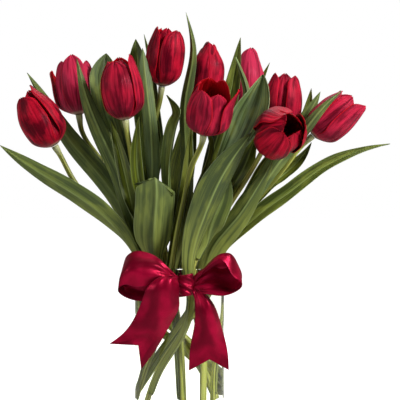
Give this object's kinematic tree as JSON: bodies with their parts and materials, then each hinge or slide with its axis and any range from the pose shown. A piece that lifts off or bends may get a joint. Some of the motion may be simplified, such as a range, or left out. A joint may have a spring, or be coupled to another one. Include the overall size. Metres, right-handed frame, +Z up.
{
  "type": "tulips in a vase",
  "caption": "Bunch of red tulips with long green leaves in a straight clear glass vase of water, tied with a crimson satin bow.",
  "frame": {"origin": "centre of the vase's flat underside, where it meets the table", "axes": "+Z up along the vase's axis, -Y to the front where the bow is, +X to the right seen from the front"},
  "size_m": [0.4348, 0.1756, 0.4462],
  "materials": {
    "clear_glass": "gloss",
    "water": "gloss",
    "stem_green": "satin",
    "leaf_green": "satin",
    "petal_red": "satin",
    "crimson_satin": "satin"
  },
  "bodies": {
    "root": {"vase": "clear_glass", "water": "water", "stem_01": "stem_green", "stem_02": "stem_green", "stem_03": "stem_green", "stem_04": "stem_green", "stem_05": "stem_green", "stem_06": "stem_green", "stem_07": "stem_green", "stem_08": "stem_green", "stem_09": "stem_green", "stem_10": "stem_green", "flower_01": "petal_red", "flower_02": "petal_red", "flower_03": "petal_red", "flower_04": "petal_red", "flower_05": "petal_red", "flower_06": "petal_red", "flower_07": "petal_red", "flower_08": "petal_red", "flower_09": "petal_red", "flower_10": "petal_red", "leaf_01": "leaf_green", "leaf_02": "leaf_green", "leaf_03": "leaf_green", "leaf_04": "leaf_green", "leaf_05": "leaf_green", "leaf_06": "leaf_green", "leaf_07": "leaf_green", "leaf_08": "leaf_green", "leaf_09": "leaf_green", "leaf_10": "leaf_green", "leaf_11": "leaf_green", "leaf_12": "leaf_green", "leaf_13": "leaf_green", "leaf_14": "leaf_green", "leaf_15": "leaf_green", "leaf_16": "leaf_green", "leaf_17": "leaf_green", "leaf_18": "leaf_green", "leaf_19": "leaf_green", "leaf_20": "leaf_green", "leaf_21": "leaf_green", "leaf_22": "leaf_green", "leaf_23": "leaf_green", "leaf_24": "leaf_green", "leaf_25": "leaf_green", "leaf_26": "leaf_green", "leaf_27": "leaf_green", "leaf_28": "leaf_green", "leaf_29": "leaf_green", "ribbon_band": "crimson_satin", "ribbon_knot": "crimson_satin", "ribbon_loop_left": "crimson_satin", "ribbon_loop_right": "crimson_satin", "ribbon_tail_left": "crimson_satin", "ribbon_tail_right": "crimson_satin"}
  },
  "joints": []
}
